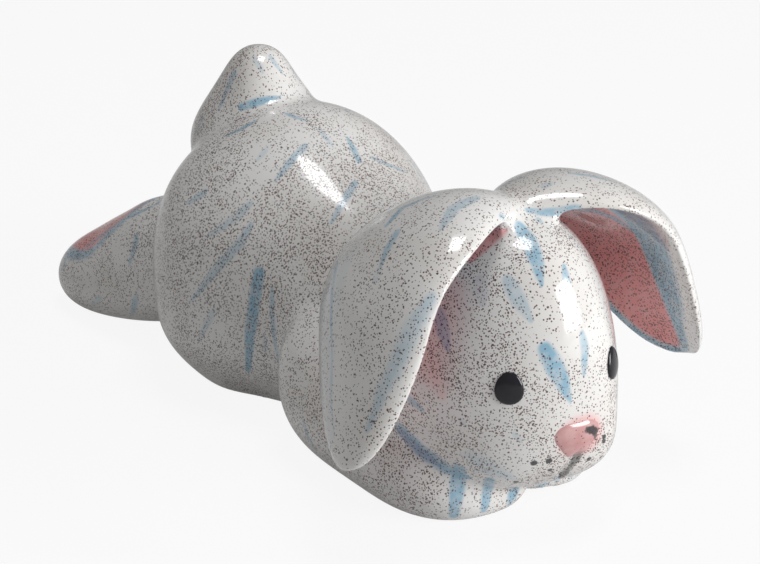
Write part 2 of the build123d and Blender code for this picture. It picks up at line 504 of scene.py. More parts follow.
@dataclass(frozen=True)
class PinkGlaze:
    """Pale pink glaze of the nose, with a few specks and one inked touch."""

    name: str = "pink_nose_glaze"
    pale: Colour = (0.62, 0.37, 0.36, 1.0)
    deep: Colour = (0.55, 0.27, 0.265, 1.0)
    speck: Colour = (0.06, 0.02, 0.018, 1.0)
    ink: Colour = (0.02, 0.02, 0.022, 1.0)
    speck_cell: float = 1.1 * MM

    def build(self, dots: Sequence[InkDot]) -> bpy.types.Material:
        """Makes the material.

        Args:
            dots: inked touches, of which those on the nose show.

        Returns:
            The material.
        """
        shade = Shade(self.name)
        cloud = shade.noise(4 * MM, 3).ramp(0.3, 0.7)
        base = shade.mix(cloud, self.pale, self.deep)
        specks = shade.cells(self.speck_cell).ramp(0.22, 0.15)
        base = shade.mix(specks * 0.8, base, self.speck)
        wobble = (shade.noise(1.1 * MM, 2) - 0.5) * (1 * MM)
        for dot in dots:
            base = shade.mix(dot.mark(shade, wobble), base, self.ink)
        shade.set(Base_Color=base, Roughness=0.16 + specks * 0.1, Coat_Weight=0.5, Coat_Roughness=0.04)
        return shade.material


@dataclass(frozen=True)
class Stroke:
    """A brush stroke through pixels of the photograph, or through hidden places, in millimetres."""

    pixels: tuple[Pixel, ...]
    width: float
    strength: float
    wash: Wash = Wash.BLUE
    soft: float = 0.36
    head: float = 0.55
    foot: float = 0.25
    piece: str = ""
    places: tuple[Place, ...] = ()


@dataclass(frozen=True)
class Dab:
    """A soft round field about a pixel of the photograph; its radius is in millimetres."""

    pixel: Pixel
    radius: float
    strength: float
    wash: Wash


def face_outwards(shape: bmesh.types.BMesh) -> None:
    """Turns the faces of a closed shape outwards."""
    bmesh.ops.recalc_face_normals(shape, faces=shape.faces)
    if shape.calc_volume(signed=True) < 0:
        bmesh.ops.reverse_faces(shape, faces=shape.faces)


@dataclass
class GlazedSkin:
    """The glazed clay pieces: one skin with soft seams, cut apart again at the seams."""

    frame: dict[str, Any]
    camera: PhotoCamera
    nodes: tuple[str, ...] = (
        "torso", "head", "left_ear", "right_ear", "tail", "left_hind_foot", "right_hind_foot",
        "left_foreleg", "right_foreleg",
    )
    castings: tuple[str, ...] = ("torso", "head")
    voxel: float = 1.0 * MM
    seam_fillet: float = 1.6 * MM
    smooth_passes: int = 8
    casting_wall: float = 2.6 * MM
    clay_wall: float = 1.2 * MM
    vent_centre: tuple[float, float] = (0.0, 19 * MM)
    vent_radius: float = 5 * MM
    plug_height: float = 4 * MM
    mesh: bmesh.types.BMesh = field(init=False)
    tree: BVHTree = field(init=False)
    face_owners: list[str] = field(init=False)

    def build(self) -> None:
        """Makes the joined skin and its search tree."""
        joined = self._swollen()
        self.mesh = self._remeshed(joined)
        self._keep_outer()
        self._settle()
        self.refresh()
        LOG.info("skin of %d faces", len(self.mesh.faces))

    def refresh(self) -> None:
        """Brings the normals and the search tree up to date."""
        self.mesh.normal_update()
        self.mesh.verts.index_update()
        self.mesh.verts.ensure_lookup_table()
        self.tree = BVHTree.FromBMesh(self.mesh)

    def _swollen(self) -> bmesh.types.BMesh:
        """The CAD pieces, each swollen by the fillet, and a plug in the vent.

        Returns:
            One mesh of overlapping closed forms.
        """
        whole = bmesh.new()
        for name in self.nodes:
            piece = bmesh.new()
            piece.from_mesh(self.frame["nodes"][name].data)
            bmesh.ops.remove_doubles(piece, verts=piece.verts, dist=0.002 * MM)
            piece.normal_update()
            moves = [v.normal * self.seam_fillet for v in piece.verts]
            for vertex, move in zip(piece.verts, moves):
                vertex.co += move
            swollen = as_mesh(piece, "swollen")
            whole.from_mesh(swollen)
            bpy.data.meshes.remove(swollen)
        depth = self.plug_height + self.seam_fillet
        middle = Vector((*self.vent_centre, self.plug_height - depth / 2))
        radius = self.vent_radius * 1.3
        bmesh.ops.create_cone(whole, cap_ends=True, segments=48, radius1=radius, radius2=radius,
                              depth=depth, matrix=Matrix.Translation(middle))
        return whole

    def _remeshed(self, joined: bmesh.types.BMesh) -> bmesh.types.BMesh:
        """One even skin round overlapping forms.

        Args:
            joined: the forms, which are freed.

        Returns:
            The skin.
        """
        mesh = as_mesh(joined, "joined")
        holder = linked("joined", mesh)
        remesh = holder.modifiers.new("voxels", "REMESH")
        remesh.mode = "VOXEL"
        remesh.voxel_size = self.voxel
        graph = bpy.context.evaluated_depsgraph_get()
        even = bpy.data.meshes.new_from_object(holder.evaluated_get(graph))
        skin = bmesh.new()
        skin.from_mesh(even)
        bpy.data.objects.remove(holder)
        bpy.data.meshes.remove(mesh)
        bpy.data.meshes.remove(even)
        return skin

    def _keep_outer(self) -> None:
        """Drops the walls of the hollows, which are smaller than the outer skin."""
        seen: set[int] = set()
        groups: list[list[bmesh.types.BMVert]] = []
        self.mesh.verts.ensure_lookup_table()
        for first in self.mesh.verts:
            if first.index in seen:
                continue
            seen.add(first.index)
            group = [first]
            for vertex in group:
                for edge in vertex.link_edges:
                    other = edge.other_vert(vertex)
                    if other.index not in seen:
                        seen.add(other.index)
                        group.append(other)
            groups.append(group)
        groups.sort(key=len)
        inner = [v for group in groups[:-1] for v in group]
        bmesh.ops.delete(self.mesh, geom=inner, context="VERTS")

    def _settle(self) -> None:
        """Shrinks the skin back by the fillet, smooths it and lays it flat on its base."""
        self._smooth(2)
        self.mesh.normal_update()
        moves = [v.normal * self.seam_fillet for v in self.mesh.verts]
        for vertex, move in zip(self.mesh.verts, moves):
            vertex.co -= move
        self._smooth(self.smooth_passes)
        for vertex in self.mesh.verts:
            if vertex.co.z < 0.25 * MM:
                vertex.co.z = 0.0

    def _smooth(self, passes: int) -> None:
        """Evens out the skin."""
        for _ in range(passes):
            bmesh.ops.smooth_vert(self.mesh, verts=self.mesh.verts, factor=0.5, use_axis_x=True,
                                  use_axis_y=True, use_axis_z=True)

    def hit(self, pixel: Pixel) -> Vector | None:
        """The point of the skin that a pixel shows, if any."""
        return self.tree.ray_cast(self.camera.place(), self.camera.ray(pixel))[0]

    def seen(self, point: Vector) -> bool:
        """Whether the photograph shows a point of the skin.

        Args:
            point: the point.

        Returns:
            True where nothing hides it from the camera.
        """
        eye = self.camera.place()
        found = self.tree.ray_cast(eye, (point - eye).normalized())[0]
        return found is not None and (found - point).length < 2 * MM

    def path(self, pixels: Sequence[Pixel], step: float = 1.5) -> list[Vector]:
        """Points on the skin along a run of pixels.

        Args:
            pixels: the run.
            step: pixels from one point to the next.

        Returns:
            The points, without those where the run leaves the skin.
        """
        found = []
        for first, second in zip(pixels, pixels[1:]):
            count = max(2, int(math.dist(first, second) / step))
            for number in range(count + 1):
                share = number / count
                point = self.hit(tuple(a + (b - a) * share for a, b in zip(first, second)))
                if point is not None:
                    found.append(point)
        return found

    def run(self, places: Sequence[Place], steps: int = 16) -> list[Vector]:
        """Points on the skin near a run of places.

        Args:
            places: the run, in millimetres.
            steps: points from one place to the next.

        Returns:
            The points.
        """
        found = []
        for first, second in zip(places, places[1:]):
            for number in range(steps + 1):
                place = Vector(first).lerp(Vector(second), number / steps) * MM
                found.append(self.tree.find_nearest(place)[0])
        return found

    def refine(self, paths: Iterable[tuple[Sequence[Vector], float]]) -> None:
        """Halves the faces near brush strokes.

        Args:
            paths: each stroke's points, and how far from them the faces are halved.
        """
        near: set[bmesh.types.BMEdge] = set()
        spots = KDTree(len(self.mesh.verts))
        for index, vertex in enumerate(self.mesh.verts):
            spots.insert(vertex.co, index)
        spots.balance()
        for points, reach in paths:
            for point in points:
                for _, index, _ in spots.find_range(point, reach):
                    near.update(self.mesh.verts[index].link_edges)
        self.mesh.edges.index_update()
        edges = sorted(near, key=lambda edge: edge.index)
        bmesh.ops.subdivide_edges(self.mesh, edges=edges, cuts=1, use_grid_fill=True)
        self.refresh()
        LOG.info("refined to %d faces", len(self.mesh.faces))

    def press(self, points: Sequence[Vector], radius: float, depth: float) -> None:
        """Presses a soft groove along points of the skin.

        Args:
            points: the groove's line.
            radius: where the groove is about a third as deep as in its middle.
            depth: how deep it is, or how high a ridge is where it is negative.
        """
        moves = []
        for vertex in self.mesh.verts:
            gap = min((vertex.co - p).length for p in points)
            if gap < 2.5 * radius:
                moves.append((vertex, vertex.normal * depth * math.exp(-((gap / radius) ** 2))))
        for vertex, move in moves:
            vertex.co -= move
        self.refresh()

    def share_out(self) -> None:
        """Gives each face to the CAD node that is nearest to it."""
        whole = bmesh.new()
        labels: list[str] = []
        for name in self.nodes:
            whole.from_mesh(self.frame["nodes"][name].data)
            labels += [name] * (len(whole.faces) - len(labels))
        near = BVHTree.FromBMesh(whole)
        self.face_owners = [labels[near.find_nearest(f.calc_center_median())[2]] for f in self.mesh.faces]
        whole.free()

    def owned(self, *names: str) -> np.ndarray:
        """Which vertices belong to the named nodes.

        Args:
            names: the nodes.

        Returns:
            True or False for each vertex.
        """
        mask = np.zeros(len(self.mesh.verts), dtype=bool)
        for face, owner in zip(self.mesh.faces, self.face_owners):
            if owner in names:
                mask[[v.index for v in face.verts]] = True
        return mask

    def softly_owned(self, names: Sequence[str], passes: int = 10) -> np.ndarray:
        """How far each vertex belongs to the named nodes, from 0 to 1 across their seams.

        Args:
            names: the nodes, or none for all.
            passes: how often the share is evened out between neighbours.

        Returns:
            A share for each vertex.
        """
        share = self.owned(*(names or self.nodes)).astype(float)
        ends = np.array([(e.verts[0].index, e.verts[1].index) for e in self.mesh.edges])
        count = np.bincount(ends.ravel(), minlength=len(share))
        for _ in range(passes):
            total = np.bincount(ends[:, 0], share[ends[:, 1]], len(share))
            total += np.bincount(ends[:, 1], share[ends[:, 0]], len(share))
            share = (share + total / count) / 2
        return share

    def cut(self, materials: dict[str, bpy.types.Material]) -> list[bpy.types.Object]:
        """Cuts the skin into closed pieces, one for each CAD node.

        Args:
            materials: the material of each node.

        Returns:
            The pieces.
        """
        lay = self.mesh.verts.layers.float_vector.new("skin_normal")
        for vertex in self.mesh.verts:
            vertex[lay] = vertex.normal
        made = []
        for name in self.nodes:
            part = self.mesh.copy()
            part.faces.ensure_lookup_table()
            owners = zip(part.faces, self.face_owners)
            drop = [face for face, owner in owners if owner != name or self._in_vent(face)]
            bmesh.ops.delete(part, geom=drop, context="FACES")
            self._thicken(part, self.casting_wall if name in self.castings else self.clay_wall)
            made.append(self._finish(part, name, materials[name]))
        return made

    def _thicken(self, part: bmesh.types.BMesh, wall: float) -> None:
        """Gives an open skin an inner wall, joined to it along its edges.

        Args:
            part: the open skin, which becomes a closed shell.
            wall: its thickness.
        """
        lay = part.verts.layers.float_vector["skin_normal"]
        made = bmesh.ops.extrude_face_region(part, geom=part.faces[:], use_keep_orig=True)["geom"]
        for vertex in made:
            if isinstance(vertex, bmesh.types.BMVert):
                vertex.co -= vertex[lay] * wall
                vertex[lay] = -vertex[lay]
        face_outwards(part)

    def _in_vent(self, face: bmesh.types.BMFace) -> bool:
        """Whether a face lies over the vent hole in the base.

        Args:
            face: the face.

        Returns:
            True for a face of the vent.
        """
        middle = face.calc_center_median()
        offset = Vector((middle.x - self.vent_centre[0], middle.y - self.vent_centre[1]))
        return middle.z < 0.5 * MM and offset.length < self.vent_radius

    def _finish(self, part: bmesh.types.BMesh, name: str, material: bpy.types.Material
                ) -> bpy.types.Object:
        """Turns a cut piece into a dressed object.

        Args:
            part: the piece, which is freed.
            name: the CAD node that it stands for.
            material: its finish.

        Returns:
            The object.
        """
        lay = part.verts.layers.float_vector["skin_normal"]
        normals = [Vector(v[lay]) for v in part.verts]
        mesh = as_mesh(part, "glazed_" + name)
        mesh.attributes.remove(mesh.attributes["skin_normal"])
        mesh.shade_smooth()
        mesh.normals_split_custom_set_from_vertices(normals)
        return dressed(mesh, name, material)


@dataclass(frozen=True)
class Nudge:
    """A soft push of the clay at a pixel: its radius, and its move right, up and near, in millimetres."""

    pixel: Pixel
    radius: float
    right: float
    up: float
    near: float = 0.0
    pieces: tuple[str, ...] = ()


@dataclass
class Modelling:
    """Modelling of the clay: small pushes that follow the photograph, and the mouth's groove."""

    skin: GlazedSkin
    nudges: tuple[Nudge, ...] = (
        Nudge((347, 450), 15, 0.3, -3.2, pieces=("right_ear",)),
        Nudge((672, 300), 26, -1.3, -0.9, pieces=("left_ear",)),
        Nudge((640, 190), 22, -1.2, -0.8, pieces=("left_ear",)),
        Nudge((572, 184), 18, 0.0, -1.0, pieces=("left_ear",)),
        Nudge((594, 206), 9, -0.3, -2.0, 0.6, pieces=("left_ear",)),
        Nudge((222, 95), 9, 1.1, -0.3, pieces=("tail",)),
        Nudge((297, 80), 8, -1.0, -0.3, pieces=("tail",)),
        Nudge((143, 214), 11, -0.8, 1.9, pieces=("right_hind_foot",)),
        Nudge((86, 250), 9, 0.8, -2.2, pieces=("right_hind_foot",)),
        Nudge((172, 335), 14, -1.6, -0.6),
        Nudge((180, 185), 16, -1.2, 0.8, pieces=("torso",)),
        Nudge((250, 388), 10, 0.5, 1.6, pieces=("torso",)),
        Nudge((395, 500), 16, -1.0, -0.8, 1.8, pieces=("right_foreleg",)),
        Nudge((500, 500), 12, 3.0, 1.2, pieces=("right_foreleg", "left_foreleg")),
        Nudge((548, 489), 8, -0.5, 1.5, pieces=("left_foreleg",)),
        Nudge((552, 482), 12, 0.0, 2.4, pieces=("head",)),
        Nudge((597, 446), 11, 3.0, -0.2, pieces=("head",)),
        Nudge((611, 385), 16, 0.9, 0.0, pieces=("head",)),
    )
    mouth: tuple[Pixel, ...] = ((578, 455), (569, 466), (560, 477))
    mouth_radius: float = 1.3 * MM
    mouth_depth: float = 1.1 * MM

    def shape(self) -> None:
        """Pushes the skin and presses the mouth in."""
        self.skin.share_out()
        right, up, near = self.skin.camera.axes()
        for nudge in self.nudges:
            middle = self.skin.hit(nudge.pixel)
            if middle is None:
                LOG.info("nothing to push at %s", nudge.pixel)
                continue
            move = (right * nudge.right + up * nudge.up + near * nudge.near) * MM
            self._push(middle, nudge.radius * MM, move, nudge.pieces)
        self.skin.refresh()
        groove = self.skin.path(self.mouth)
        self.skin.refine([(groove, 4 * MM)])
        self.skin.press(groove, self.mouth_radius, self.mouth_depth)

    def _push(self, middle: Vector, radius: float, move: Vector, pieces: tuple[str, ...]) -> None:
        """Moves the skin softly round a point.

        Args:
            middle: the point.
            radius: where the move is about a third as long as in the middle.
            move: the move in the middle.
            pieces: the nodes that are moved, or none for all.
        """
        for vertex, share in zip(self.skin.mesh.verts, self.skin.softly_owned(pieces)):
            gap = (vertex.co - middle).length / radius
            if gap < 2.5:
                vertex.co += move * (share * math.exp(-gap * gap))
                vertex.co.z = max(vertex.co.z, 0.0)


def dressed(mesh: bpy.types.Mesh, node: str, material: bpy.types.Material
            ) -> bpy.types.Object:
    """Puts a finished mesh in the scene in place of a CAD node.

    Args:
        mesh: the mesh, in the rabbit's own frame.
        node: the CAD node that it stands for.
        material: its finish.

    Returns:
        The object.
    """
    mesh.materials.append(material)
    piece = linked(mesh.name, mesh)
    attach(piece, BODY)
    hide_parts(node)
    LOG.info("%s: %d faces", piece.name, len(mesh.polygons))
    return piece


def soft_step(value: np.ndarray, low: float, high: float) -> np.ndarray:
    """A smooth step from 0 at low to 1 at high."""
    share = np.clip((value - low) / (high - low), 0, 1)
    return share * share * (3 - 2 * share)


@dataclass
class Decoration:
    """Brushed blue strokes, pink ear hollows and soles, a soft pink patch on the cheek, painted shade
    under the jaw and painted light where specks thin out, on the skin.
    """

    skin: GlazedSkin
    strokes: tuple[Stroke, ...] = (
        # tail
        Stroke(((235, 72), (227, 90), (219, 110)), 2.4, 0.6),
        Stroke(((242, 107), (258, 102), (280, 97)), 2.8, 0.9, head=0.9, foot=0.3),
        Stroke(((254, 57), (263, 73)), 1.8, 0.35),
        Stroke(((270, 56), (283, 74)), 1.8, 0.5),
        Stroke(((291, 66), (298, 80)), 1.3, 0.5),
        Stroke(((205, 114), (197, 130), (191, 146)), 1.2, 0.4),
        # rump
        Stroke(((256, 121), (239, 130), (223, 137)), 1.9, 0.8),
        Stroke(((285, 113), (297, 118), (309, 121)), 1.6, 0.7),
        Stroke(((305, 146), (291, 161), (275, 181)), 2.4, 0.65, head=0.9, foot=0.3),
        Stroke(((319, 129), (334, 148)), 1.6, 0.4),
        Stroke(((347, 137), (353, 148), (359, 161)), 2.3, 0.75, head=0.3, foot=0.8),
        Stroke(((371, 157), (386, 164), (408, 173)), 2.0, 0.6),
        Stroke(((411, 161), (422, 179)), 1.5, 0.6),
        Stroke(((355, 183), (344, 201), (331, 223)), 2.4, 0.65, head=0.8, foot=0.3),
        Stroke(((268, 147), (256, 162)), 2.0, 0.25),
        Stroke(((206, 191), (195, 199), (186, 204)), 2.4, 0.5),
        Stroke(((251, 203), (235, 218), (206, 238)), 2.8, 0.4),
        Stroke(((251, 225), (241, 242), (218, 267), (202, 288), (190, 302)), 3.2, 0.45),
        Stroke(((215, 309), (206, 326), (198, 342)), 2.4, 0.3),
        Stroke(((259, 273), (254, 305), (250, 335), (248, 371)), 4.0, 0.9, head=0.9, foot=0.4),
        Stroke(((272, 288), (272, 312), (274, 337), (279, 366)), 1.8, 0.6),
        Stroke(((265, 337), (265, 355)), 2.0, 0.3),
        Stroke(((342, 109), (356, 116)), 1.6, 0.3),
        Stroke(((170, 338), (174, 344)), 1.8, 0.4),
        # hind foot
        Stroke(((137, 235), (134, 250), (129, 265)), 2.6, 0.6),
        Stroke(((137, 295), (131, 317)), 2.4, 0.55),
        Stroke(((101, 297), (91, 306)), 2.6, 0.35),
        Stroke(((151, 207), (121, 221), (98, 238), (80, 252)), 1.5, 0.75),
        Stroke(((164, 198), (152, 207)), 1.5, 0.5),
        Stroke(((66, 256), (63, 271)), 2.0, 0.6),
        # near ear
        Stroke(((386, 226), (402, 208), (423, 199), (440, 195)), 2.2, 0.75),
        Stroke(((477, 197), (454, 208), (440, 230)), 3.6, 0.5),
        Stroke(((397, 232), (387, 249), (380, 267)), 2.4, 0.65, head=0.9, foot=0.3),
        Stroke(((380, 267), (374, 284)), 2.2, 0.25),
        Stroke(((347, 243), (337, 262), (332, 289), (331, 324), (332, 352)), 1.9, 0.6),
        Stroke(((332, 352), (331, 400), (334, 438)), 1.4, 0.4),
        Stroke(((432, 297), (416, 322), (406, 343), (391, 376), (383, 389), (376, 409), (367, 431)),
               4.6, 0.45, soft=0.7),
        Stroke(((500, 216), (505, 217)), 1.8, 0.6),
        # far ear
        Stroke(((495, 189), (510, 182), (526, 176)), 2.1, 0.6),
        Stroke(((570, 173), (592, 176), (614, 182)), 2.1, 0.65),
        Stroke(((543, 187), (553, 182)), 2.4, 0.3),
        Stroke(((528, 211), (543, 213), (556, 212), (575, 209), (594, 211), (614, 218), (632, 230)),
               2.8, 0.75, head=0.7, foot=0.9, piece="left_ear"),
        # hidden sides
        Stroke((), 3.4, 0.8, places=((0, 70, 94), (2, 82, 82), (3, 88, 70))),
        Stroke((), 2.6, 0.7, places=((14, 72, 84), (15, 76, 74))),
        Stroke((), 3.6, 0.8, places=((-9, 92, 58), (-12, 96, 44))),
        Stroke((), 3.1, 0.7, places=((10, 92, 52), (13, 96, 38))),
        Stroke((), 3.9, 0.85, places=((40, 76, 62), (48, 74, 50), (52, 70, 36))),
        Stroke((), 2.9, 0.7, places=((34, 60, 78), (42, 54, 70))),
        Stroke((), 3.4, 0.8, places=((56, 44, 54), (61, 36, 38))),
        Stroke((), 2.9, 0.7, places=((-30, 76, 66), (-38, 74, 52))),
        Stroke((), 3.4, 0.8, places=((18, -48, 86), (24, -42, 74), (28, -40, 62))),
        Stroke((), 3.1, 0.75, places=((-14, -48, 86), (-20, -42, 72))),
        Stroke((), 3.6, 0.8, places=((44, -62, 84), (56, -66, 70), (60, -70, 54))),
        Stroke((), 2.9, 0.7, places=((52, -56, 66), (58, -60, 50))),
        Stroke((), 3.1, 0.75, places=((50, -50, 30), (54, -54, 14))),
        Stroke((), 3.1, 0.8, places=((38, 92, 26), (44, 98, 12))),
        # face
        Stroke(((520, 227), (530, 243), (537, 262), (542, 287)), 4.4, 0.85, head=0.8, foot=0.1),
        Stroke(((564, 266), (568, 288), (573, 310)), 2.3, 0.7, foot=0.1),
        Stroke(((507, 279), (518, 299), (531, 321)), 4.2, 0.45),
        Stroke(((480, 279), (483, 306)), 4.0, 0.25, Wash.VIOLET_AND_SHADE),
        Stroke(((545, 349), (553, 364), (562, 381), (571, 403)), 5.0, 0.9, head=0.75, foot=0.08),
        Stroke(((582, 333), (585, 349), (584, 377)), 2.7, 0.7),
        Stroke(((439, 311), (443, 331), (448, 350)), 4.0, 0.55, Wash.VIOLET_AND_SHADE),
        Stroke(((537, 218), (543, 224)), 1.6, 0.6),
        Stroke(((514, 433), (522, 443)), 1.8, 0.25),
        Stroke(((461, 420), (465, 425)), 1.8, 0.25),
        # under the jaw, with painted shade in its crease, and the paws
        # the crease's band: blue paint, widened and deepened as painted shade
        Stroke(((401, 430), (422, 450), (446, 468), (470, 478)), 5.0, 0.75, head=0.9),
        # painted shade: a violet darkening of the same crease
        Stroke(((401, 432), (418, 450), (440, 466)), 3.6, 0.6, Wash.VIOLET_AND_SHADE, head=0.9),
        Stroke(((408, 398), (415, 404), (424, 411)), 2.2, 0.6),
        # painted shade: a soft blue tint under the chin
        Stroke(((470, 456), (490, 469), (514, 479)), 6.0, 0.3, soft=0.9),
        Stroke(((303, 420), (308, 437), (321, 459)), 1.6, 0.6),
        Stroke(((459, 468), (457, 490), (454, 516)), 4.2, 0.85, head=0.9, foot=0.6),
        Stroke(((490, 480), (484, 510)), 3.5, 0.85, head=0.8, foot=0.6),
        Stroke(((515, 489), (510, 503)), 3.6, 0.85, head=0.8, foot=0.6),
        Stroke(((542, 484), (540, 487)), 2.6, 0.7, head=0.8, foot=0.6),
        Stroke(((557, 478), (556, 481)), 2.2, 0.6, head=0.8, foot=0.6),
        # pink beside the ear's root, on the sole and on the cheek
        Stroke(((508, 215), (498, 228), (485, 243), (470, 261)), 5.0, 0.8, Wash.PINK, piece="head"),
        Stroke(((146, 203), (118, 217), (88, 243)), 3.2, 0.8, Wash.PINK),
        Stroke(((452, 290), (438, 335), (435, 366), (442, 395)), 11.0, 0.3, Wash.PINK, soft=0.95),
    )
    dabs: tuple[Dab, ...] = (
        # painted light: fewer specks on the lit tail, rump top, far ear rim, forehead, muzzle, paws,
        # foreleg and hind foot; the last dab is the nose's pink
        Dab((275, 85), 15, 0.7, Wash.CALM_AND_LIT),
        Dab((350, 118), 13, 0.6, Wash.CALM_AND_LIT),
        Dab((655, 210), 14, 0.6, Wash.CALM_AND_LIT),
        Dab((560, 335), 16, 0.8, Wash.CALM_AND_LIT),
        Dab((550, 300), 15, 0.75, Wash.CALM_AND_LIT),
        Dab((592, 400), 12, 0.55, Wash.CALM_AND_LIT),
        Dab((470, 500), 14, 0.6, Wash.CALM_AND_LIT),
        Dab((522, 496), 11, 0.6, Wash.CALM_AND_LIT),
        Dab((108, 305), 16, 0.55, Wash.CALM_AND_LIT),
        Dab((345, 425), 12, 0.4, Wash.CALM_AND_LIT),
        Dab((578, 437), 7.5, 0.6, Wash.PINK),
    )
    arch_centre: Place = (17.5 * MM, -85 * MM, 55 * MM)
    arch_lean: float = 20.0
    hang_angle: float = 18.0
    rim_tilt: float = -0.3
    crown_gap: float = 4 * MM
    brush_edge: float = 0.7 * MM
    front_rim: float = 4.6 * MM
    back_rim: float = 0.4 * MM
    front_border: float = 3.9 * MM
    back_border: float = 2.2 * MM
    twin_seen: float = 0.25
    sole_centre: tuple[float, float] = (-30 * MM, 88 * MM)
    sole_way: tuple[float, float] = (-0.322, 0.947)
    sole_half: tuple[float, float] = (9 * MM, 19 * MM)
    spots: np.ndarray = field(init=False)
    normals: np.ndarray = field(init=False)
    masks: dict[Wash, np.ndarray] = field(init=False)

    def paint(self) -> None:
        """Adds the washes to the skin's vertices."""
        runs = [run for stroke in self.strokes for run in self._runs(stroke)]
        self.skin.refine([(points, stroke.width / 2 * MM + 1.2 * MM) for points, stroke in runs])
        self.skin.share_out()
        self.spots = np.array([v.co for v in self.skin.mesh.verts])
        self.normals = np.array([v.normal for v in self.skin.mesh.verts])
        self.masks = {wash: np.zeros(len(self.spots)) for wash in Wash}
        for points, stroke in runs:
            self._lay(points, stroke)
        for dab in self.dabs:
            self._dab(dab)
        for side, name in ((1, "left_ear"), (-1, "right_ear")):
            self._ear(side, name)
        for side, name in ((1, "right_hind_foot"), (-1, "left_hind_foot")):
            self._sole(side, name)
        for wash, values in self.masks.items():
            lay = self.skin.mesh.verts.layers.float.new(wash.value)
            for vertex, value in zip(self.skin.mesh.verts, values):
                vertex[lay] = value

    def _raise(self, wash: Wash, index: np.ndarray, values: np.ndarray) -> None:
        """Keeps the stronger of a wash and new values at some vertices."""
        self.masks[wash][index] = np.maximum(self.masks[wash][index], values)

    def _runs(self, stroke: Stroke) -> list[tuple[list[Vector], Stroke]]:
        """Where a stroke is laid, and its twin on the far side where the photograph doesn't show that.

        Args:
            stroke: the stroke.

        Returns:
            Points on the skin with the stroke, once, twice or not at all.
        """
        if stroke.places:
            return [(self.skin.run(stroke.places), stroke)]
        path = self.skin.path(stroke.pixels)
        if len(path) < 2:
            LOG.info("stroke off the skin at %s", stroke.pixels[0])
            return []
        twin = [self.skin.tree.find_nearest(Vector((-p.x, p.y, p.z)))[0] for p in path]
        if sum(self.skin.seen(p) for p in twin) > self.twin_seen * len(twin):
            return [(path, stroke)]
        return [(path, stroke), (twin, stroke)]

    def _lay(self, path: Sequence[Vector], stroke: Stroke) -> None:
        """Raises a wash along a path, softly and with tapered ends.

        Args:
            path: points on the skin.
            stroke: the stroke's width, strength and ends.
        """
        points = np.array([tuple(p) for p in path])
        reach = stroke.width * MM
        near = np.all((self.spots > points.min(0) - reach) & (self.spots < points.max(0) + reach), axis=1)
        index = np.nonzero(near)[0]
        if not len(index):
            return
        share = np.linspace(0, 1, len(points))
        peak = 0.3 if stroke.head >= stroke.foot else 0.7
        turn = np.where(share < peak, 1 - share / peak, (share - peak) / (1 - peak))
        ends = np.where(share < peak, stroke.head, stroke.foot)
        half = stroke.width / 2 * MM * (ends + (1 - ends) * np.cos(np.pi / 2 * turn) ** 0.8)
        gap = np.linalg.norm(self.spots[index][:, None, :] - points[None], axis=2) / half[None]
        depth = soft_step(gap.min(1), 1 + stroke.soft, 1 - stroke.soft) * stroke.strength
        if stroke.piece:
            depth *= self.skin.owned(stroke.piece)[index]
        self._raise(stroke.wash, index, depth)

    def _dab(self, dab: Dab) -> None:
        """Raises a wash round a point, and round its twin on the far side.

        Args:
            dab: the field.
        """
        middle = self.skin.hit(dab.pixel)
        if middle is None:
            return
        for point in (middle, Vector((-middle.x, middle.y, middle.z))):
            gap = np.linalg.norm(self.spots - np.array(point), axis=1) / (dab.radius * MM)
            index = np.nonzero(gap < 1)[0]
            self._raise(dab.wash, index, soft_step(gap[index], 1.0, 0.55) * dab.strength)

    def _ear(self, side: int, name: str) -> None:
        """Paints an ear's hollow pink with a blue border, and thins the specks on its rim and edges,
        partly as painted light.

        Args:
            side: 1 on the rabbit's left and -1 on its right.
            name: the ear's node.
        """
        lean = math.radians(self.arch_lean)
        index = np.nonzero(self.skin.owned(name))[0]
        upright = np.array((0, math.sin(lean), math.cos(lean)))
        offset = self.spots[index] - np.array(self.arch_centre) * (side, 1, 1)
        turn = np.arctan2(offset @ upright, offset[:, 0] * side)
        turn = np.maximum(turn, math.radians(self.hang_angle))
        normals = self.normals[index]
        facing = np.cos(turn) * side * normals[:, 0] + np.sin(turn) * (normals @ upright)
        crown = KDTree(len(self.spots))
        for number in np.nonzero(self.skin.owned("head"))[0]:
            crown.insert(self.spots[number], int(number))
        crown.balance()
        rim = KDTree(len(index))
        for number, tilt in zip(index, facing):
            if tilt > self.rim_tilt and crown.find(self.spots[number])[2] > self.crown_gap:
                rim.insert(self.spots[number], int(number))
        rim.balance()
        gap = np.zeros(len(index))
        for number in np.nonzero(facing <= self.rim_tilt)[0]:
            gap[number] = rim.find(self.spots[index[number]])[2]
        front = soft_step(offset @ np.array((0, -math.cos(lean), math.sin(lean))), -8 * MM, 2 * MM)
        outer = self.back_rim + (self.front_rim - self.back_rim) * front
        inner = outer + self.back_border + (self.front_border - self.back_border) * front
        pink = soft_step(gap - inner, -self.brush_edge, self.brush_edge)
        blue = soft_step(gap - outer, -self.brush_edge, self.brush_edge) * (1 - pink)
        self._raise(Wash.PINK, index, pink * 0.95)
        self._raise(Wash.BLUE, index, blue * 0.85)
        # fewer specks on the rim and edges: partly painted light
        calm_and_lit = np.maximum(soft_step(np.abs(facing), 0.75, 0.3), (gap < outer) * 0.7)
        self._raise(Wash.CALM_AND_LIT, index, calm_and_lit * 0.8)

